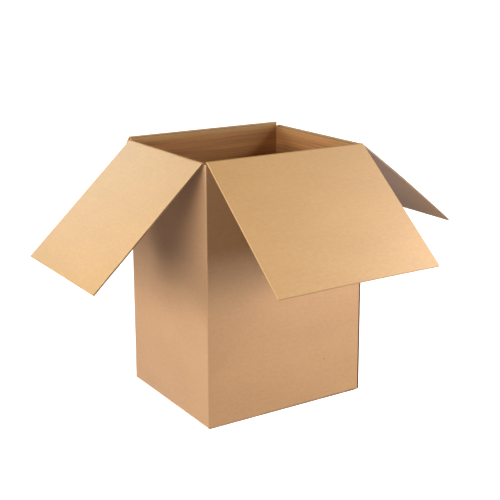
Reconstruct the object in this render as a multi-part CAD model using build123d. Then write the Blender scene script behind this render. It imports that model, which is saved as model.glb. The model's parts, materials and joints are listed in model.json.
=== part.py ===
from build123d import *
import math
import os
from dataclasses import dataclass

# An open shipping box, folded from one slotted sheet of single-wall
# corrugated board. The origin is the middle of the underside, +Z is up,
# -Y is the front and -X the left. The sheet runs right, back, left and
# front panel, then a glue tab that is stuck inside the right panel.
# Lengths are in millimetres and angles in degrees.

# The board
board = 2.8
fold_inner_radius = 1.0

# The walls
box_length = 352.0
box_width = 300.0
side_crease_height = 503.0

# The glued corner, front right
raw_edge_setback = 2.0
tab_width = 35.0
tab_end_slant = 17.0

# The slots between neighbouring flaps, measured from the outer corner
major_slot = 1.0
minor_slot = 6.0
glued_corner_major_slot = 4.5
glued_corner_minor_slot = 7.0
slot_drop = 1.5

# The top flaps
flap_layer_clearance = 0.3
flap_end_clearance = 0.7
hinge_clearance = 0.15

# The angle of each top flap below level, as the box stands
left_flap_angle = 43.3
front_flap_angle = 40.0
right_flap_angle = 38.0
back_flap_angle = 50.0

# The bottom flaps
bottom_seam_gap = 1.0
bottom_seam_offset = 3.0
bottom_slot = 3.0
glued_corner_bottom_slot = 5.5
bottom_minor_clearance = 0.7
minor_bottom_reach = 150.0
bottom_corner_height = 4.8

# Sizes that follow
fold_outer_radius = fold_inner_radius + board
layer_step = board + flap_layer_clearance
front_crease_height = side_crease_height + layer_step
back_crease_height = front_crease_height + layer_step
front_flap_reach = box_width - board - flap_end_clearance
blank_top = front_crease_height + front_flap_reach
side_flap_reach = blank_top - side_crease_height
left_tuck_angle = math.degrees(math.atan2(layer_step, box_length - side_flap_reach))
wall_base = bottom_corner_height
slot_floor = side_crease_height - slot_drop
overcut = 1.0


@dataclass
class Side:
    """One wall with its top and bottom flap, as seen from outside."""

    name: str
    turn_angle: float
    span: float
    depth: float
    crease: float
    droop_angle: float
    tuck_angle: float
    slot_left: float
    slot_right: float
    bottom_level: float
    bottom_reach: float
    bottom_slot_left: float
    bottom_slot_right: float

    def placed(self, shape):
        """Turn a shape drawn for the front wall to this wall."""
        return Rot(0, 0, self.turn_angle) * shape

    def flap_ends(self):
        """The flap's left and right edge along the wall."""
        return -self.span / 2 + self.slot_left, self.span / 2 - self.slot_right

    def mitre(self):
        """How far each half of the crease is cut back on the inside.

        The two halves meet when the flap is closed, level or tucked lower.
        """
        right_angle = 90
        return board * math.tan(math.radians((right_angle + self.tuck_angle) / 2))


minor_bottom_slot = fold_outer_radius + bottom_minor_clearance
front_bottom_reach = box_width / 2 + bottom_seam_offset - bottom_seam_gap / 2
back_bottom_reach = box_width - front_bottom_reach - bottom_seam_gap
front = Side(
    name="front", turn_angle=0, span=box_length, depth=box_width / 2,
    crease=front_crease_height, droop_angle=front_flap_angle, tuck_angle=0,
    slot_left=major_slot, slot_right=glued_corner_major_slot,
    bottom_level=0, bottom_reach=front_bottom_reach,
    bottom_slot_left=bottom_slot, bottom_slot_right=glued_corner_bottom_slot,
)
right = Side(
    name="right", turn_angle=90, span=box_width, depth=box_length / 2,
    crease=side_crease_height, droop_angle=right_flap_angle, tuck_angle=0,
    slot_left=glued_corner_minor_slot, slot_right=minor_slot,
    bottom_level=board, bottom_reach=minor_bottom_reach,
    bottom_slot_left=minor_bottom_slot, bottom_slot_right=minor_bottom_slot,
)
back = Side(
    name="back", turn_angle=180, span=box_length, depth=box_width / 2,
    crease=back_crease_height, droop_angle=back_flap_angle, tuck_angle=0,
    slot_left=major_slot, slot_right=major_slot,
    bottom_level=0, bottom_reach=back_bottom_reach,
    bottom_slot_left=bottom_slot, bottom_slot_right=bottom_slot,
)
left = Side(
    name="left", turn_angle=-90, span=box_width, depth=box_length / 2,
    crease=side_crease_height, droop_angle=left_flap_angle, tuck_angle=left_tuck_angle,
    slot_left=minor_slot, slot_right=minor_slot,
    bottom_level=board, bottom_reach=minor_bottom_reach,
    bottom_slot_left=minor_bottom_slot, bottom_slot_right=minor_bottom_slot,
)
sides = [front, right, back, left]


def block(low, high):
    """A box between two opposite corners."""
    size = [b - a for a, b in zip(low, high)]
    return Pos(*low) * Box(*size, align=(Align.MIN, Align.MIN, Align.MIN))


def along_wall(profile, start, end):
    """Extrude a section drawn as (inward, up) along the front wall."""
    section = Plane(origin=(start, 0, 0), x_dir=(0, 1, 0), z_dir=(1, 0, 0)) * profile
    return extrude(section, amount=end - start, dir=(1, 0, 0))


def board_ring(length, width):
    """The board's section on plan, with a bend at each corner."""
    outer = RectangleRounded(length, width, fold_outer_radius)
    inner = RectangleRounded(length - 2 * board, width - 2 * board, fold_inner_radius)
    return outer - inner


def tab_blank():
    """The glue tab, cut at a slant at its top and bottom end."""
    root = -box_width / 2 + fold_outer_radius
    tip = -box_width / 2 + board + tab_width
    outline = Polyline((root, wall_base), (tip, wall_base + tab_end_slant), (tip, slot_floor - tab_end_slant),
                       (root, slot_floor), close=True)
    face = make_face(outline)
    plane = Plane(origin=(box_length / 2 - board, 0, 0), x_dir=(0, 1, 0), z_dir=(1, 0, 0))
    return extrude(plane * face, amount=-board)


def walls():
    """The four panels up to the highest crease, with the glued corner."""
    half_length = box_length / 2
    half_width = box_width / 2
    fold_start = half_length - board - fold_outer_radius
    corner = Rectangle(half_length - fold_start + overcut, fold_outer_radius + overcut,
                       align=(Align.MIN, Align.MIN))
    corner = Pos(fold_start, -half_width - overcut) * corner
    panels = board_ring(box_length, box_width) - corner
    tab_fold = Pos(-board / 2, 0) * board_ring(box_length - board, box_width) & corner
    raw_end = Rectangle(board, fold_outer_radius - raw_edge_setback, align=(Align.MIN, Align.MIN))
    glued = tab_fold + Pos(half_length - board, -half_width + raw_edge_setback) * raw_end
    base = Pos(0, 0, wall_base)
    tube = base * extrude(panels, amount=back_crease_height - wall_base, dir=(0, 0, 1))
    tube += base * extrude(glued, amount=slot_floor - wall_base, dir=(0, 0, 1))
    return tube + tab_blank()


def crease_cut(side):
    """What is cut off above one wall, down to its mitred crease."""
    top = back_crease_height + overcut
    lip = side.crease - hinge_clearance
    inner_lip = lip - side.mitre()
    inside = board + overcut / 2
    outline = Polyline((-overcut, lip), (0, lip), (board, inner_lip), (inside, inner_lip),
                       (inside, top), (-overcut, top), close=True)
    reach = side.span / 2
    cut = along_wall(make_face(outline), -reach, reach)
    return side.placed(Pos(0, -side.depth, 0) * cut)


def slot_cuts(side):
    """The slots beside one flap, which end just below the creases."""
    left_end, right_end = side.flap_ends()
    top = back_crease_height + overcut
    reach = side.span / 2 + overcut
    outside = -side.depth - overcut
    inside = -side.depth + fold_outer_radius
    pair = block((-reach, outside, slot_floor), (left_end, inside, top))
    pair += block((right_end, outside, slot_floor), (reach, inside, top))
    return side.placed(pair)


def bottom_flap(side):
    """The foot of one wall and the bottom flap that it folds into."""
    low = side.bottom_level
    high = low + board
    foot_top = wall_base + fold_outer_radius + board
    bend_out = (0, low + fold_outer_radius)
    bend_in = (board, low + fold_outer_radius)
    bend_under = (fold_outer_radius, low)
    bend_over = (fold_outer_radius, high)
    outline = Polyline(bend_in, (board, foot_top), (0, foot_top), bend_out)
    outline += RadiusArc(bend_out, bend_under, -fold_outer_radius)
    outline += Polyline(bend_under, (side.bottom_reach, low), (side.bottom_reach, high), bend_over)
    outline += RadiusArc(bend_over, bend_in, fold_inner_radius)
    left_end = -side.span / 2 + side.bottom_slot_left
    right_end = side.span / 2 - side.bottom_slot_right
    foot = along_wall(make_face(outline), left_end, right_end)
    return side.placed(Pos(0, -side.depth, 0) * foot)


def box_body():
    """The walls, the glue tab and the closed bottom, one folded sheet."""
    body = walls()
    for side in sides:
        body -= crease_cut(side)
    for side in sides:
        body -= slot_cuts(side)
    for side in sides:
        body += bottom_flap(side)
    return body


def top_flap(side):
    """One top flap, hung from the outer edge of its wall's crease."""
    reach = blank_top - side.crease
    root = hinge_clearance
    outline = Polyline((root, 0), (reach, 0), (reach, board), (root + side.mitre(), board), close=True)
    left_end, right_end = side.flap_ends()
    section = Plane(origin=(left_end, 0, 0), x_dir=(0, -1, 0), z_dir=(-1, 0, 0)) * make_face(outline)
    flap = extrude(section, amount=right_end - left_end, dir=(1, 0, 0))
    hung = Pos(0, -side.depth, side.crease) * Rot(side.droop_angle, 0, 0) * flap
    return side.placed(hung)


def main():
    os.makedirs("parts", exist_ok=True)
    export_step(box_body(), "parts/box_body.step")
    for side in sides:
        export_step(top_flap(side), f"parts/flap_{side.name}.step")


main()
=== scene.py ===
import json
import math

import bmesh
import bpy
import numpy as np
from mathutils import Matrix, Vector


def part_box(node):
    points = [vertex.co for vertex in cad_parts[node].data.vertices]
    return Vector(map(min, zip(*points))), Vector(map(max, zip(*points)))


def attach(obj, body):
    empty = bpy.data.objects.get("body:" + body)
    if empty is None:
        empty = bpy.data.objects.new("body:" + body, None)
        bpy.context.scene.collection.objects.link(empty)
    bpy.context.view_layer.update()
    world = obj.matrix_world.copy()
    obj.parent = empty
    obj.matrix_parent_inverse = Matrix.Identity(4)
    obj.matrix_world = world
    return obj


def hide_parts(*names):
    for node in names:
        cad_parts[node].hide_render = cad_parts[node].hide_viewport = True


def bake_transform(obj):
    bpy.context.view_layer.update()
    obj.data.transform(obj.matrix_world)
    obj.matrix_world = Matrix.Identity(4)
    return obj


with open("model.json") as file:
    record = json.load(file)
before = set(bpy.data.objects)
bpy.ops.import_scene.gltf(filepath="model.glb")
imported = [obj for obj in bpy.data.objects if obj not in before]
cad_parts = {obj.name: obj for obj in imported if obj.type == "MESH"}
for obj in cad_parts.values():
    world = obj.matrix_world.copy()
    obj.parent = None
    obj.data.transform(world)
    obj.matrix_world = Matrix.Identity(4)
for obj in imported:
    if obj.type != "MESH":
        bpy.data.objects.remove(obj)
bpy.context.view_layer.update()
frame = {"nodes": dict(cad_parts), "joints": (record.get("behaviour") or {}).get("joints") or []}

# An open shipping box of single-wall corrugated board. Its blank is laid out
# flat first, as (along the sheet, up the sheet, depth through the board), and
# then folded. Depth is nought on the outer liner. Lengths are in metres and
# angles in degrees.

# The board: two liners with a wavy medium between them
board = 0.0028
liner = 0.00025
medium = 0.0002
flute_pitch = 0.0064

# The folds. The core is the least radius that the inner liner keeps in a fold
fold_radius = 0.0022
fold_core = 0.0002
hinge_clearance = 0.00015
score_radius = 0.0009

# The glued corner
raw_edge_setback = 0.0008
tab_width = 0.035
tab_end_slant = 0.017
glue_line = 0.00005

# The slots beside the top flaps, which end lower on the inner liner by the slant
major_slot = 0.001
glued_corner_slot = 0.0045
minor_slot = 0.006
glued_corner_minor_slot = 0.007
slot_drop = 0.0015
slot_slant = 0.002

# The bottom
bottom_slot = 0.003
glued_corner_bottom_slot = 0.0055
bottom_minor_slot = 0.0045
corner_foot = 0.001
corner_foot_run = fold_radius / 10
tab_foot = 0.0048
minor_bottom_reach = 0.15
bottom_seam_gap = 0.0001
bottom_seam_offset = 0.003

# How deep the core lies between the liners at the cut edges
groove = 0.0003
raw_edge_groove = 0.006
open_flute_depth = 0.0009

# How finely the sheet is divided
cell = 0.012
bend_step = 15
bend_rows = 6
flute_steps = 12
place_digits = 7

# How far the panels stray from flat
flap_bows = {"left": 0.0, "front": 0.0022, "right": 0.002, "back": 0.0012}
flap_twists = {"left": 0.0, "front": 0.001, "right": 0.0, "back": 0.0}
panel_warp = 0.0003
panel_warp_slant = 0.7

box_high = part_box("box_body")[1]
half_length = box_high.x
half_width = box_high.y
front_bottom_reach = half_width + bottom_seam_offset - bottom_seam_gap / 2
back_bottom_reach = 2 * half_width - front_bottom_reach - bottom_seam_gap
fold_arc = fold_radius * math.pi / 2
joints = {joint["name"]: joint for joint in frame["joints"]}


class Side:
    """One panel of the walls with its top flap and its bottom flap."""

    def __init__(self, name, heading, span, slots, bottom_slots, level, bottom_reach):
        self.name = name
        self.heading = Vector(heading)
        self.inward = Vector((-self.heading.y, self.heading.x))
        self.span = span
        self.slots = slots
        self.bottom_slots = bottom_slots
        self.foot = level + fold_radius
        self.bottom_reach = bottom_reach
        joint = joints["crease_" + name]
        self.pivot = Vector(joint["pos_m"])
        self.crease = self.pivot.z
        self.read_flap(math.radians(joint["range_deg"][1]))

    def read_flap(self, closing_turn):
        """The flap's droop, length and mitre, from the solid and the joint."""
        lowest = min((v.co for v in frame["nodes"]["flap_" + self.name].data.vertices),
                     key=lambda point: point.z)
        arm = lowest - self.pivot
        out = -(arm.x * self.inward.x + arm.y * self.inward.y)
        self.droop = math.atan2(-arm.z, out)
        self.reach = math.hypot(arm.z, out)
        tuck = closing_turn - math.pi - self.droop
        self.mitre = board * math.tan((math.pi / 2 + tuck) / 2)

    def flap_axes(self):
        """Unit vectors down the open flap and up from its inner liner."""
        outward = -self.inward.to_3d()
        up = Vector((0, 0, 1))
        down_flap = outward * math.cos(self.droop) - up * math.sin(self.droop)
        upper = outward * math.sin(self.droop) + up * math.cos(self.droop)
        return down_flap, upper


length = 2 * half_length
width = 2 * half_width
major_slots = (major_slot, major_slot)
minor_slots = (minor_slot, minor_slot)
bottom_slots = (bottom_slot, bottom_slot)
bottom_minor_slots = (bottom_minor_slot, bottom_minor_slot)
right = Side("right", (0, 1), width, (glued_corner_minor_slot, minor_slot), bottom_minor_slots, board,
             minor_bottom_reach)
back = Side("back", (-1, 0), length, major_slots, bottom_slots, 0, back_bottom_reach)
left = Side("left", (0, -1), width, minor_slots, bottom_minor_slots, board, minor_bottom_reach)
front = Side("front", (1, 0), length, (major_slot, glued_corner_slot),
             (bottom_slot, glued_corner_bottom_slot), 0, front_bottom_reach)
sides = [right, back, left, front]
slot_floor = left.crease - slot_drop


class Leg:
    """A straight run of the folded sheet on plan."""

    def __init__(self, start, point, heading, run):
        self.start = start
        self.end = start + run
        self.point = point
        self.heading = heading
        self.inward = Vector((-heading.y, heading.x))


def folded_legs():
    """The runs of the sheet, from the raw edge round to the tip of the glue tab."""
    runs = [width - raw_edge_setback - fold_radius, length - 2 * fold_radius, width - 2 * fold_radius,
            length - board - glue_line - 2 * fold_radius, tab_width + board - fold_radius]
    headings = [side.heading for side in sides] + [right.heading]
    point = Vector((half_length, raw_edge_setback - half_width))
    start = 0.0
    legs = []
    for run, heading in zip(runs, headings):
        leg = Leg(start, point, heading, run)
        legs.append(leg)
        centre = point + heading * run + leg.inward * fold_radius
        point = centre + heading * fold_radius
        start = leg.end + fold_arc
    return legs


legs = folded_legs()
tab = legs[-1]
sheet_end = tab.end
for side, leg in zip(sides, legs):
    side.leg = leg


def plan_point(along):
    """The sheet's outer face on plan, and the way into the board."""
    for leg in legs:
        if along <= leg.end or leg is tab:
            return leg.point + leg.heading * (along - leg.start), leg.inward
        if along < leg.end + fold_arc:
            break
    turn = (along - leg.end) / fold_radius
    centre = leg.point + leg.heading * (leg.end - leg.start) + leg.inward * fold_radius
    inward = leg.inward * math.cos(turn) - leg.heading * math.sin(turn)
    return centre - inward * fold_radius, inward


def sheet_place(side, from_start):
    """Where on the sheet a point of a wall lies, counted along the wall from its first corner."""
    if side is right:
        return from_start - raw_edge_setback
    run = from_start - fold_radius
    if run < 0:
        return side.leg.start + fold_radius * math.asin(run / fold_radius)
    beyond = run - (side.leg.end - side.leg.start)
    if beyond > 0:
        return side.leg.end + fold_radius * math.asin(beyond / fold_radius)
    return side.leg.start + run


def sheet_line(side, along):
    """A place on the sheet, moved from the corner's arc to the wall's straight line."""
    leg = side.leg
    if along > leg.end:
        return leg.end + fold_radius * math.sin((along - leg.end) / fold_radius)
    if along < leg.start:
        return leg.start - fold_radius * math.sin((leg.start - along) / fold_radius)
    return along


for side in sides:
    side.top_span, side.bottom_span = (
        (sheet_place(side, slots[0]), sheet_place(side, side.span - slots[1]))
        for slots in (side.slots, side.bottom_slots))


def in_span(along, span):
    return span[0] < along < span[1]


def divided(stops, spacing):
    """Stops with even divisions between them, no wider than the spacing at each place."""
    stops = sorted(set(round(stop, place_digits) for stop in stops))
    points = [stops[0]]
    for low, high in zip(stops, stops[1:]):
        count = max(1, math.ceil((high - low) / spacing((low + high) / 2)))
        points += [low + (high - low) * step / count for step in range(1, count + 1)]
    return points


def column_spacing(along):
    on_leg = any(leg.start <= along <= leg.end for leg in legs)
    return cell if on_leg else fold_radius * math.radians(bend_step)


def wall_feet():
    """Where the walls end, as places on the sheet and heights. Each corner reaches lower."""
    places = [0]
    heights = [corner_foot]
    for side, leg in zip(sides, legs):
        corner = leg.end + fold_arc / 2
        places += [*side.bottom_span, max(corner, side.bottom_span[1] + corner_foot_run)]
        heights += [side.foot, side.foot, corner_foot]
    return places + [tab.start], heights + [tab_foot]


feet = wall_feet()


def foot_height(along):
    """Where the wall ends and the bend to the bottom begins."""
    return float(np.interp(along, *feet))


class Blank:
    """Flat board with its two liners and its cut edges, ready to fold.

    Columns run up the sheet and rows across it. Each vertex keeps its place
    on the sheet, which the board's finish is drawn from.
    """

    def __init__(self, columns, rows, kept, place):
        self.columns = columns
        self.rows = rows
        self.kept = kept
        self.place = place
        self.vertices = []
        self.faces = []
        self.index = {}
        self.insets = {}

    def is_kept(self, i, j):
        return 0 <= i < len(self.columns) - 1 and 0 <= j < len(self.rows) - 1 and self.kept(i, j)

    def add(self, point):
        self.vertices.append(point)
        return len(self.vertices) - 1

    def vertex(self, i, j, depth, inside=False):
        key = (i, j, depth, inside)
        if key not in self.index:
            along, up, through = self.place(self.columns[i], self.rows[j], depth)
            if inside:
                shift = self.insets[i, j]
                along += shift[0]
                up += shift[1]
            self.index[key] = self.add((along, up, through))
        return self.index[key]

    def boundary(self):
        """The edges between kept and missing cells, with the way into the board."""
        for i in range(len(self.columns) - 1):
            for j in range(len(self.rows) - 1):
                if not self.is_kept(i, j):
                    continue
                if not self.is_kept(i - 1, j):
                    yield (i, j), (i, j + 1), (1, 0)
                if not self.is_kept(i + 1, j):
                    yield (i + 1, j), (i + 1, j + 1), (-1, 0)
                if not self.is_kept(i, j - 1):
                    yield (i, j), (i + 1, j), (0, 1)
                if not self.is_kept(i, j + 1):
                    yield (i, j + 1), (i + 1, j + 1), (0, -1)

    def skin(self):
        """The two liners."""
        for i in range(len(self.columns) - 1):
            for j in range(len(self.rows) - 1):
                if self.is_kept(i, j):
                    for depth in (0, board):
                        self.faces.append([self.vertex(i, j, depth), self.vertex(i + 1, j, depth),
                                           self.vertex(i + 1, j + 1, depth), self.vertex(i, j + 1, depth)])

    def rim(self, depth_at):
        """The cut edges. A groove as deep as depth_at says lies between the liners."""
        edges = []
        for a, b, inward in self.boundary():
            depth = depth_at(a, b, inward)
            edges.append((a, b, depth > 0))
            if depth > 0:
                for end in (a, b):
                    old = self.insets.get(end, (0, 0))
                    self.insets[end] = (inward[0] * depth or old[0], inward[1] * depth or old[1])
        # The depths where the liners end and the core begins
        first = liner
        second = board - liner
        for a, b, is_cut in edges:
            cut_a = a in self.insets
            cut_b = b in self.insets
            outer = [self.vertex(*a, 0), self.vertex(*b, 0), self.vertex(*b, first)]
            inner = [self.vertex(*a, board), self.vertex(*b, board), self.vertex(*b, second)]
            if is_cut:
                for depth in (first, second):
                    self.faces.append([self.vertex(*a, depth), self.vertex(*b, depth),
                                       self.vertex(*b, depth, True), self.vertex(*a, depth, True)])
            else:
                for ring, depth in ((outer, first), (inner, second)):
                    ring += [self.vertex(*end, depth, True) for end in (b, a) if end in self.insets]
            outer.append(self.vertex(*a, first))
            inner.append(self.vertex(*a, second))
            middle = [self.vertex(*a, first, cut_a), self.vertex(*b, first, cut_b),
                      self.vertex(*b, second, cut_b), self.vertex(*a, second, cut_a)]
            self.faces += [outer, inner, middle]

    def flutes(self, start, end, edge, inward):
        """The wavy sheet between the liners, where a free edge lets it be seen."""
        count = int((end - start) / flute_pitch * flute_steps)
        middle = board / 2
        swing = middle - liner - medium / 2
        rows = (edge + inward * liner, edge + inward * open_flute_depth)
        rings = []
        for step in range(count + 1):
            phase = 2 * math.pi * step / flute_steps
            along = start + flute_pitch * step / flute_steps
            depth = middle + swing * math.cos(phase)
            tilt = math.atan(-swing * math.sin(phase) * 2 * math.pi / flute_pitch)
            across = Vector((-math.sin(tilt), math.cos(tilt))) * medium / 2
            low = (along - across.x, depth - across.y)
            high = (along + across.x, depth + across.y)
            corners = [(low, rows[0]), (high, rows[0]), (high, rows[1]), (low, rows[1])]
            rings.append([self.add((point[0], up, point[1])) for point, up in corners])
        for ring, after in zip(rings, rings[1:]):
            for a in range(len(ring)):
                b = (a + 1) % len(ring)
                self.faces.append([ring[a], ring[b], after[b], after[a]])
        self.faces += [rings[0], rings[-1]]

    def folded(self, name, fold):
        """The piece, with every vertex moved to where folding puts it."""
        return make_piece(name, [fold(*vertex) for vertex in self.vertices], self.faces, self.vertices)


def make_piece(name, vertices, faces, places):
    """A scene object whose vertices know their places on the sheet, with its faces turned outward."""
    mesh = bpy.data.meshes.new(name)
    mesh.from_pydata(vertices, [], faces)
    attribute = mesh.attributes.new("sheet", "FLOAT_VECTOR", "POINT")
    attribute.data.foreach_set("vector", np.array(places, float).ravel())
    work = bmesh.new()
    work.from_mesh(mesh)
    bmesh.ops.recalc_face_normals(work, faces=work.faces)
    work.to_mesh(mesh)
    work.free()
    piece = bpy.data.objects.new(name, mesh)
    bpy.context.scene.collection.objects.link(piece)
    return piece


# The walls and the bottom

# Rows of the body's blank. Between them lie the bottom flap, its bend, the wall and the strip under a crease
flap_edge, flap_start, wall_start, slot_row, crease_row = range(-2, 3)


def has_flap(along, spans):
    """Whether a flap joins the wall at this place on the sheet."""
    return any(in_span(along, getattr(side, spans)) for side in sides)


def nearest_side(along, spans):
    return min(sides, key=lambda side: max(getattr(side, spans)[0] - along, along - getattr(side, spans)[1]))


def body_place(along, row, depth):
    """The flat place of a body vertex, from its row."""
    foot = foot_height(along)
    share = depth / board
    top = slot_floor - slot_slant * share
    if along > tab.start:
        slant = tab_end_slant * (along - tab.start) / (tab.end - tab.start)
        foot += slant
        top -= slant
    if row > slot_row:
        side = nearest_side(along, "top_span")
        crease = side.crease - hinge_clearance - side.mitre * share
        return along, top + (crease - top) * (row - slot_row), depth
    if row >= wall_start:
        return along, foot + (top - foot) * (row - wall_start), depth
    if row >= flap_start:
        return along, foot + fold_arc * (row - wall_start), depth
    side = nearest_side(along, "bottom_span")
    return along, foot - fold_arc + (side.bottom_reach - fold_radius) * (row - flap_start), depth


def warp_at(along, up):
    """How far a wall strays from flat, with nothing at its edges."""
    for side in sides:
        start, end = side.leg.start, side.leg.end
        if start < along < end and side.foot < up < slot_floor:
            across = (along - start) / (end - start)
            height = (up - side.foot) / (slot_floor - side.foot)
            shape = math.sin(math.pi * across) * math.sin(math.pi * height)
            phase = 2 * math.pi * (across + panel_warp_slant * height) + side.heading.x
            return panel_warp * shape * math.cos(phase)
    return 0.0


def pressed(depth):
    """A depth within a fold, where the score leaves the board thinner."""
    return min(depth, fold_radius - fold_core)


def fold_body(along, up, depth):
    """Folds a flat point of the body round the corners and under the bottom."""
    foot = foot_height(along)
    if up >= foot:
        point, inward = plan_point(along)
        if not any(leg.start <= along <= leg.end for leg in legs):
            depth = pressed(depth)
        point = point + inward * (depth + warp_at(along, up))
        return point.x, point.y, up
    side = nearest_side(along, "bottom_span")
    point = side.leg.point + side.leg.heading * (sheet_line(side, along) - side.leg.start)
    turn = (foot - up) / fold_radius
    under = max(foot - up - fold_arc, 0)
    if turn < math.pi / 2 and under == 0:
        depth = pressed(depth)
    turn = min(turn, math.pi / 2)
    centre = fold_radius - depth
    point = point + side.inward * (fold_radius - centre * math.cos(turn) + under)
    return point.x, point.y, foot - centre * math.sin(turn)


def make_body():
    """The four walls, the glue tab and the four bottom flaps, folded from one blank."""
    stops = [0, sheet_end]
    for leg in legs:
        stops += [leg.start, leg.end]
    for side in sides:
        stops += [*side.top_span, *side.bottom_span]
    columns = divided(stops, column_spacing)
    flap_rows = math.ceil(minor_bottom_reach / cell)
    wall_rows = math.ceil(slot_floor / cell)
    rows = [flap_edge + step / flap_rows for step in range(flap_rows)]
    rows += [flap_start + step / bend_rows for step in range(bend_rows)]
    rows += [wall_start + step / wall_rows for step in range(wall_rows + 1)]
    rows.append(crease_row)

    def kept(i, j):
        along = (columns[i] + columns[i + 1]) / 2
        row = (rows[j] + rows[j + 1]) / 2
        if row > slot_row:
            return has_flap(along, "top_span")
        if row < wall_start:
            return has_flap(along, "bottom_span")
        return True

    def groove_at(a, b, inward):
        low = min(rows[a[1]], rows[b[1]])
        on_tab = columns[a[0]] >= tab.start and columns[b[0]] >= tab.start
        if low >= slot_row and not on_tab:
            return 0
        if rows[a[1]] == rows[b[1]] == flap_edge:
            return open_flute_depth
        return raw_edge_groove if a[0] == b[0] == 0 else groove

    blank = Blank(columns, rows, kept, body_place)
    blank.skin()
    blank.rim(groove_at)
    for side in sides:
        start, end = side.bottom_span
        edge = side.foot - fold_arc - (side.bottom_reach - fold_radius)
        blank.flutes(start + groove, end - groove, edge, 1)
    return blank.folded("box_walls", fold_body)


# The top flaps

def make_flap(side):
    """One top flap, from its crease to its free edge, bowed and twisted as it hangs."""
    start, end = side.top_span
    first = sheet_line(side, start)
    last = sheet_line(side, end)
    columns = divided([first, last], lambda along: cell)
    rows = divided([0, side.reach], lambda along: cell)
    down_flap, upper = side.flap_axes()
    corner = Vector((*side.leg.point, side.crease))

    def place(along, row, depth):
        root = hinge_clearance + side.mitre * depth / board
        return along, side.crease + root + (side.reach - root) * row / side.reach, depth

    def groove_at(a, b, inward):
        if inward[1] > 0:
            return 0
        return open_flute_depth if inward[1] < 0 else groove

    def fold(along, up, depth):
        run = up - side.crease
        share = (along - first) / (last - first)
        down = run / side.reach
        if side is right:
            bow = math.sin(math.pi * down)
        else:
            bow = math.sin(math.pi * share) * down * down
        lift = flap_bows[side.name] * bow + flap_twists[side.name] * (2 * share - 1) * down
        point = corner + side.heading.to_3d() * (along - side.leg.start)
        return point + down_flap * run + upper * (depth + lift)

    blank = Blank(columns, rows, lambda i, j: True, place)
    blank.skin()
    blank.rim(groove_at)
    blank.flutes(first + groove, last - groove, side.crease + side.reach, -1)
    return blank.folded("board_" + side.name, fold)


# The creases

# Half of a pressed score, as shares of the mitre and the board: (distance from the fold, thickness left)
score_profile = [(1.0, 1.0), (0.8, 0.97), (0.6, 0.86), (0.4, 0.66), (0.2, 0.44)]
score_arc_steps = 8


def make_crease(side):
    """The pressed board between a wall and its flap.

    Each point of its section is an offset from the fold, a depth, a height on
    the sheet and a painted shade. The painted shade stands for the shadow inside
    the crease: it is full on the inside where the wall's half of the score begins, and is gone at the fold.
    """
    down_flap, upper = side.flap_axes()
    outward = -side.inward.to_3d()
    up = Vector((0, 0, 1))
    gap = hinge_clearance
    reach = side.mitre + gap
    section = [(-up * gap, 0, -gap, 0)]
    for run, thick in score_profile:
        section.append((-up * (gap + side.mitre * run) - outward * board * thick, board, -reach * run, run))
    bend = math.pi / 2 + side.droop
    for step in range(score_arc_steps + 1):
        turn = bend * step / score_arc_steps
        arm = -outward * math.cos(turn) + up * math.sin(turn)
        section.append((arm * score_radius, board, (turn / bend - 0.5) * gap, 0))
    for run, thick in reversed(score_profile):
        section.append((down_flap * (gap + side.mitre * run) + upper * board * thick, board, reach * run, 0))
    section.append((down_flap * gap, 0, gap, 0))
    start, end = (sheet_line(side, along) for along in side.top_span)
    columns = divided([start, end], lambda along: cell)
    corner = Vector((*side.leg.point, side.crease))
    vertices = []
    places = []
    shades = []
    for along in columns:
        for offset, depth, height, shade in section:
            vertices.append(corner + side.heading.to_3d() * (along - side.leg.start) + offset)
            places.append((along, side.crease + height, depth))
            shades.append(shade)
    count = len(section)
    faces = []
    for column in range(len(columns) - 1):
        for a in range(count):
            b = (a + 1) % count
            faces.append([column * count + a, column * count + b,
                          (column + 1) * count + b, (column + 1) * count + a])
    faces += [list(range(count)), list(range(len(vertices) - count, len(vertices)))]
    strip = make_piece("crease_strip_" + side.name, vertices, faces, places)
    strip.data.attributes.new("score", "FLOAT", "POINT").data.foreach_set("value", shades)
    return strip


# The finish

# Sockets of a colour mix
mix_first, mix_second, mix_result = 6, 7, 2

# How much the finer steps of a noise count
noise_roughness = 0.55


class Nodes:
    """Short names for building a shader."""

    def __init__(self, tree):
        self.tree = tree

    def add(self, kind, **values):
        node = self.tree.nodes.new(kind)
        for name, value in values.items():
            setattr(node, name, value)
        return node

    def link(self, source, target):
        self.tree.links.new(source, target)

    def feed(self, socket, value):
        if isinstance(value, bpy.types.NodeSocket):
            self.link(value, socket)
        else:
            socket.default_value = value

    def math(self, operation, *values):
        node = self.add("ShaderNodeMath", operation=operation)
        for socket, value in zip(node.inputs, values):
            self.feed(socket, value)
        return node.outputs[0]

    def scaled(self, vector, scale):
        node = self.add("ShaderNodeVectorMath", operation="MULTIPLY")
        self.feed(node.inputs[0], vector)
        node.inputs[1].default_value = scale
        return node.outputs[0]

    def noise(self, vector, scale, detail=3):
        node = self.add("ShaderNodeTexNoise")
        self.feed(node.inputs["Vector"], self.scaled(vector, scale))
        node.inputs["Scale"].default_value = 1.0
        node.inputs["Detail"].default_value = detail
        node.inputs["Roughness"].default_value = noise_roughness
        return node.outputs["Fac"]

    def ramp(self, value, low, high, to_low=0.0, to_high=1.0):
        node = self.add("ShaderNodeMapRange")
        node.clamp = True
        for name, number in zip(("Value", "From Min", "From Max", "To Min", "To Max"),
                                (value, low, high, to_low, to_high)):
            self.feed(node.inputs[name], number)
        return node.outputs[0]

    def mix(self, factor, a, b):
        node = self.add("ShaderNodeMix", data_type="RGBA")
        self.feed(node.inputs["Factor"], factor)
        self.feed(node.inputs[mix_first], a)
        self.feed(node.inputs[mix_second], b)
        return node.outputs[mix_result]


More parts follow.
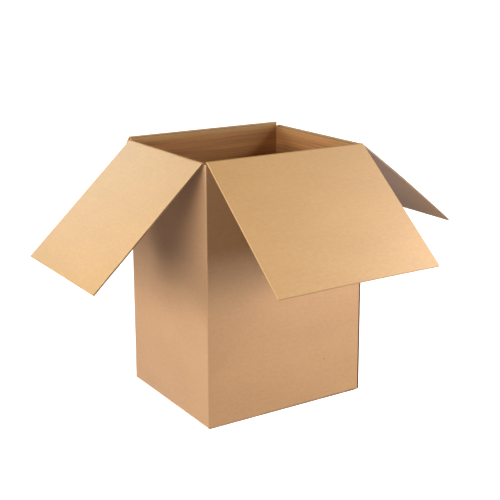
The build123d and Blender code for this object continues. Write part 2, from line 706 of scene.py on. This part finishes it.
# Colours
outer_kraft = (0.512, 0.289, 0.143, 1)
inner_kraft = (0.486, 0.265, 0.086, 1)
# Painted shade: the inner liner inside the walls
inside_shade_kraft = (0.465, 0.215, 0.072, 1)
# The core's own tone, lightened as a painted highlight against the shade in the flutes
cut_kraft_and_highlight = (0.6, 0.35, 0.17, 1)
# Painted shade for the raw edge and the side flaps' forward edges
raw_edge_shade_kraft = (0.26, 0.14, 0.065, 1)
# Painted shade inside the creases
score_shade_kraft = (0.13, 0.06, 0.022, 1)
# Painted contact shadow along the bottom folds
contact_shadow_kraft = (0.07, 0.04, 0.022, 1)
fleck_kraft = (0.22, 0.12, 0.055, 1)

# The inner liner is painted darker and redder inside the walls than on the flaps, as painted shade with the
# reddish tint of light bounced inside the box, and changes over this height
inside_fade = 0.01

# Painted shade darkens the core at the raw edge, where it lies in the glued corner's recess, and at the
# forward edges of the side flaps
shaded_cut_reach = 0.0075
shaded_cut_margin = 0.001

# The marks in the liner, as (scale along the sheet, scale up the sheet, most shade)
liner_marks = {
    "clouds": (9, 16, 0.03),
    "mottle": (110, 190, 0.04),
    "bands": (12, 260, 0.015),
    "fibres": (90, 1400, 0.05),
    "grain": (1500, 1900, 0.03),
}

# Depth is stretched in the marks, so that the two liners differ
depth_stretch = 300

# The noise values that count as least and most
noise_range = (0.3, 0.7)

# Level streaks inside the walls
streak_scale = (4, 300, 1)
streak_range = (0.35, 0.65)
streak_shade = 0.2

# Short dark flecks in the paper
fleck_scale = (420, 2400, 1)
fleck_range = (0.69, 0.76)
fleck_shade = 0.45

# One dark speck low on the front panel, as (right of its middle, height)
speck_place = (0.088, 0.084)
speck_radius = 0.0014
speck_core = 0.6
speck_shade = 0.85

# The heights on the sheet where the painted contact shadow under the walls begins, is darkest and ends
contact_shadow_heights = (-0.003, 0.0018, 0.005)

# The painted contact shadow comes and goes along the sheet, and grows over the front panel
contact_shadow_scale = (28, 0, 0)
contact_shadow_range = (0.4, 0.55)
contact_shadow_least = 0.4
contact_shadow_first_share = 0.15

# The surface of the paper, with faint ribs over the flutes
roughness_range = (0.4, 0.5)
rib_share = 0.12
relief_strength = 0.3
relief_height = 0.00015


def contact_shadow_and_speck(n, place, parts):
    """Where the outside is dark: a broken painted contact shadow along the bottom folds, and one speck."""
    height = parts.outputs["Y"]
    rise = n.ramp(height, *contact_shadow_heights[:2])
    fall = n.ramp(height, *contact_shadow_heights[1:], 1.0, 0.0)
    broken = n.ramp(n.noise(place, contact_shadow_scale, detail=2), *contact_shadow_range, contact_shadow_least, 1.0)
    growth = n.ramp(parts.outputs["X"], front.leg.start, front.leg.end, contact_shadow_first_share, 1.0)
    line = n.math("MULTIPLY", n.math("MULTIPLY", broken, growth), n.math("MULTIPLY", rise, fall))
    front_middle = front.leg.start + half_length - fold_radius
    along = n.math("SUBTRACT", parts.outputs["X"], front_middle + speck_place[0])
    up = n.math("SUBTRACT", height, speck_place[1])
    apart = n.math("SQRT", n.math("ADD", n.math("MULTIPLY", along, along), n.math("MULTIPLY", up, up)))
    speck = n.ramp(apart, speck_radius * speck_core, speck_radius, speck_shade, 0.0)
    outside = n.math("LESS_THAN", parts.outputs["Z"], board / 2)
    return n.math("MULTIPLY", outside, n.math("MAXIMUM", line, speck))


def liner_colour(n, place, parts, noises):
    """Brown paper with its marks, streaks and flecks, for both liners, with painted shade that darkens and
    reddens the inner liner inside the walls.
    """
    is_inner = n.math("GREATER_THAN", parts.outputs["Z"], board / 2)
    is_inside = n.ramp(parts.outputs["Y"], slot_floor - inside_fade, slot_floor, 1.0, 0.0)
    base = n.mix(is_inner, outer_kraft, n.mix(is_inside, inner_kraft, inside_shade_kraft))
    bright = 1.0
    for name, (along, up, shade) in liner_marks.items():
        bright = n.math("ADD", bright, n.ramp(noises[name], *noise_range, -shade, shade))
    streaks = n.ramp(n.noise(place, streak_scale, detail=2), *streak_range, -streak_shade, streak_shade)
    bright = n.math("ADD", bright, n.math("MULTIPLY", streaks, n.math("MULTIPLY", is_inner, is_inside)))
    tinted = n.add("ShaderNodeVectorMath", operation="SCALE")
    n.link(base, tinted.inputs[0])
    n.link(bright, tinted.inputs["Scale"])
    flecks = n.ramp(n.noise(place, fleck_scale, detail=2), *fleck_range, 0.0, fleck_shade)
    return n.mix(flecks, tinted.outputs[0], fleck_kraft)


def cut_colour(n, parts):
    """The core of the board, paler than the paper and lightened as a painted highlight, with painted shade
    at the raw edge and the side flaps' forward edges.
    """
    is_raw_edge = n.math("LESS_THAN", parts.outputs["X"], shaded_cut_reach)
    is_left_cut = n.math("COMPARE", parts.outputs["X"], left.top_span[1], shaded_cut_margin)
    return n.mix(n.math("MAXIMUM", is_raw_edge, is_left_cut), cut_kraft_and_highlight, raw_edge_shade_kraft)


def relief(n, parts, noises):
    """Fibres, grain and faint ribs, as a bumped normal."""
    ribs = n.math("SINE", n.math("MULTIPLY", parts.outputs["X"], 2 * math.pi / flute_pitch))
    height = n.math("ADD", noises["fibres"], noises["grain"])
    height = n.math("ADD", height, n.math("MULTIPLY", ribs, rib_share))
    bump = n.add("ShaderNodeBump")
    bump.inputs["Strength"].default_value = relief_strength
    bump.inputs["Distance"].default_value = relief_height
    n.link(height, bump.inputs["Height"])
    return bump.outputs[0]


def kraft_material():
    """Uncoated brown board, drawn from each point's place on the sheet."""
    material = bpy.data.materials.new("kraft_board")
    material.use_nodes = True
    tree = material.node_tree
    tree.nodes.clear()
    n = Nodes(tree)
    place = n.add("ShaderNodeAttribute", attribute_name="sheet").outputs["Vector"]
    parts = n.add("ShaderNodeSeparateXYZ")
    n.link(place, parts.inputs[0])
    stretched = n.scaled(place, (1, 1, depth_stretch))
    noises = {name: n.noise(stretched, (along, up, 1)) for name, (along, up, shade) in liner_marks.items()}
    # Painted contact shadow along the bottom folds, and one dark speck
    colour = n.mix(contact_shadow_and_speck(n, place, parts), liner_colour(n, stretched, parts, noises), contact_shadow_kraft)
    from_middle = n.math("ABSOLUTE", n.math("SUBTRACT", parts.outputs["Z"], board / 2))
    is_core = n.math("LESS_THAN", from_middle, (board - liner) / 2)
    colour = n.mix(is_core, colour, cut_colour(n, parts))
    # Painted shade along the inside of each crease, from the strips' score attribute
    score = n.add("ShaderNodeAttribute", attribute_name="score").outputs["Fac"]
    colour = n.mix(score, colour, score_shade_kraft)
    shader = n.add("ShaderNodeBsdfPrincipled")
    n.link(colour, shader.inputs["Base Color"])
    n.link(n.ramp(noises["grain"], *noise_range, *roughness_range), shader.inputs["Roughness"])
    n.link(relief(n, parts, noises), shader.inputs["Normal"])
    output = n.add("ShaderNodeOutputMaterial")
    n.link(shader.outputs[0], output.inputs["Surface"])
    return material


kraft = kraft_material()


def dress(piece):
    piece.data.materials.append(kraft)


walls = make_body()
dress(walls)
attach(walls, "box")
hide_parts("box_body")
for side in sides:
    flap = make_flap(side)
    dress(flap)
    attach(flap, "flap_" + side.name)
    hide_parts("flap_" + side.name)
    strip = make_crease(side)
    dress(strip)
    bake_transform(strip)
    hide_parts("flap_" + side.name)


# The stage

floor_size = 60
floor_drop = 0.0002
floor_tone = (0.8, 0.8, 0.8, 1)
floor_roughness = 0.9
floor_glow = 0.8
white = (1, 1, 1, 1)
soft_box_size = 0.36
soft_box_distance = 1.2
soft_box_aim = Vector((0, 0, 0.3))
quarter_turn = 90


def make_floor():
    """A white floor, seen from above only, that neither lights nor shades the object."""
    work = bmesh.new()
    bmesh.ops.create_grid(work, x_segments=1, y_segments=1, size=floor_size / 2)
    mesh = bpy.data.meshes.new("floor")
    work.to_mesh(mesh)
    work.free()
    floor = bpy.data.objects.new("floor", mesh)
    floor.location.z = -floor_drop
    bpy.context.scene.collection.objects.link(floor)
    floor.visible_diffuse = False
    floor.visible_glossy = False
    floor.visible_shadow = False
    mesh.materials.append(floor_material())


def floor_material():
    material = bpy.data.materials.new("floor_white")
    material.use_nodes = True
    nodes = material.node_tree.nodes
    shader = nodes["Principled BSDF"]
    shader.inputs["Base Color"].default_value = floor_tone
    shader.inputs["Roughness"].default_value = floor_roughness
    shader.inputs["Emission Color"].default_value = white
    shader.inputs["Emission Strength"].default_value = floor_glow
    n = Nodes(material.node_tree)
    see_through = n.add("ShaderNodeBsdfTransparent")
    one_sided = n.add("ShaderNodeMixShader")
    n.link(n.add("ShaderNodeNewGeometry").outputs["Backfacing"], one_sided.inputs[0])
    n.link(shader.outputs[0], one_sided.inputs[1])
    n.link(see_through.outputs[0], one_sided.inputs[2])
    n.link(one_sided.outputs[0], nodes["Material Output"].inputs["Surface"])
    return material


def make_world():
    """A white backdrop that gives no light of its own."""
    world = bpy.data.worlds.new("studio")
    bpy.context.scene.world = world
    world.use_nodes = True
    tree = world.node_tree
    tree.nodes.clear()
    n = Nodes(tree)
    seen = n.add("ShaderNodeBackground")
    seen.inputs["Color"].default_value = white
    dark = n.add("ShaderNodeBackground")
    dark.inputs["Strength"].default_value = 0.0
    rays = n.add("ShaderNodeLightPath")
    blend = n.add("ShaderNodeMixShader")
    n.link(rays.outputs["Is Camera Ray"], blend.inputs[0])
    n.link(dark.outputs[0], blend.inputs[1])
    n.link(seen.outputs[0], blend.inputs[2])
    output = n.add("ShaderNodeOutputWorld")
    n.link(blend.outputs[0], output.inputs["Surface"])


def lamp_turn(azimuth, elevation):
    """The turn of a lamp that shines from here. Azimuth nought is in front and counts towards the right."""
    around = Matrix.Rotation(math.radians(azimuth), 4, "Z")
    return around @ Matrix.Rotation(math.radians(quarter_turn - elevation), 4, "X")


def make_lamp(light):
    lamp = bpy.data.objects.new(light.name, light)
    bpy.context.scene.collection.objects.link(lamp)
    return lamp


def make_light(name, azimuth, elevation, strength, size, colour=(1, 1, 1)):
    """A soft far light."""
    light = bpy.data.lights.new(name, "SUN")
    light.energy = strength
    light.angle = math.radians(size)
    light.color = colour
    make_lamp(light).matrix_world = lamp_turn(azimuth, elevation)


def make_soft_box(name, azimuth, elevation, power):
    """A soft box close to the object."""
    light = bpy.data.lights.new(name, "AREA")
    light.shape = "DISK"
    light.size = soft_box_size
    light.energy = power
    lamp = make_lamp(light)
    lamp.visible_camera = False
    step_back = Matrix.Translation((0, 0, soft_box_distance))
    lamp.matrix_world = Matrix.Translation(soft_box_aim) @ lamp_turn(azimuth, elevation) @ step_back


make_floor()
make_world()
make_light("left_low", azimuth=-80, elevation=4, strength=1.025, size=20)
make_light("left_middle", azimuth=-120, elevation=16, strength=1.065, size=20)
make_light("front", azimuth=40, elevation=16, strength=0.65, size=20)
make_light("right_high", azimuth=75, elevation=40, strength=2.278, size=14)
make_light("back", azimuth=180, elevation=16, strength=1.285, size=20, colour=(1, 0.96, 0.82))
make_light("bounce_back", azimuth=180, elevation=-30, strength=0.714, size=40)
make_light("bounce_left", azimuth=-60, elevation=-30, strength=0.772, size=40, colour=(1, 0.9, 0.76))
make_soft_box("near_front", azimuth=30, elevation=5, power=9.714)
make_soft_box("near_left", azimuth=-90, elevation=15, power=4.014)
make_soft_box("near_left_front", azimuth=-60, elevation=15, power=3.931)

# The camera

# It stands back from the aim, and slides across and up from there
lens = 76.61
sensor = 36
frame_pixels = 500
camera_azimuth = -32.519
camera_elevation = 13.047
camera_roll = -0.174
camera_distance = 2.1368
camera_slide = (0.00953, 0.13381)
camera_range = 200
aim = Vector((0, 0, 0.25))
principal_row = 200


def make_camera():
    azimuth = math.radians(camera_azimuth)
    elevation = math.radians(camera_elevation)
    roll = math.radians(camera_roll)
    ahead = Vector((-math.sin(azimuth) * math.cos(elevation), math.cos(azimuth) * math.cos(elevation),
                    -math.sin(elevation)))
    level = ahead.cross(Vector((0, 0, 1))).normalized()
    above = level.cross(ahead)
    across = level * math.cos(roll) + above * math.sin(roll)
    over = above * math.cos(roll) - level * math.sin(roll)
    camera = bpy.data.cameras.new("camera")
    camera.lens = lens
    camera.sensor_width = sensor
    camera.shift_y = (principal_row - frame_pixels / 2) / frame_pixels
    camera.clip_end = camera_range
    eye = bpy.data.objects.new("camera", camera)
    bpy.context.scene.collection.objects.link(eye)
    place = aim + across * camera_slide[0] + over * camera_slide[1] - ahead * camera_distance
    turn = Matrix((across, over, -ahead)).transposed().to_4x4()
    eye.matrix_world = Matrix.Translation(place) @ turn
    bpy.context.scene.camera = eye


make_camera()
bpy.context.scene.view_settings.view_transform = "Standard"
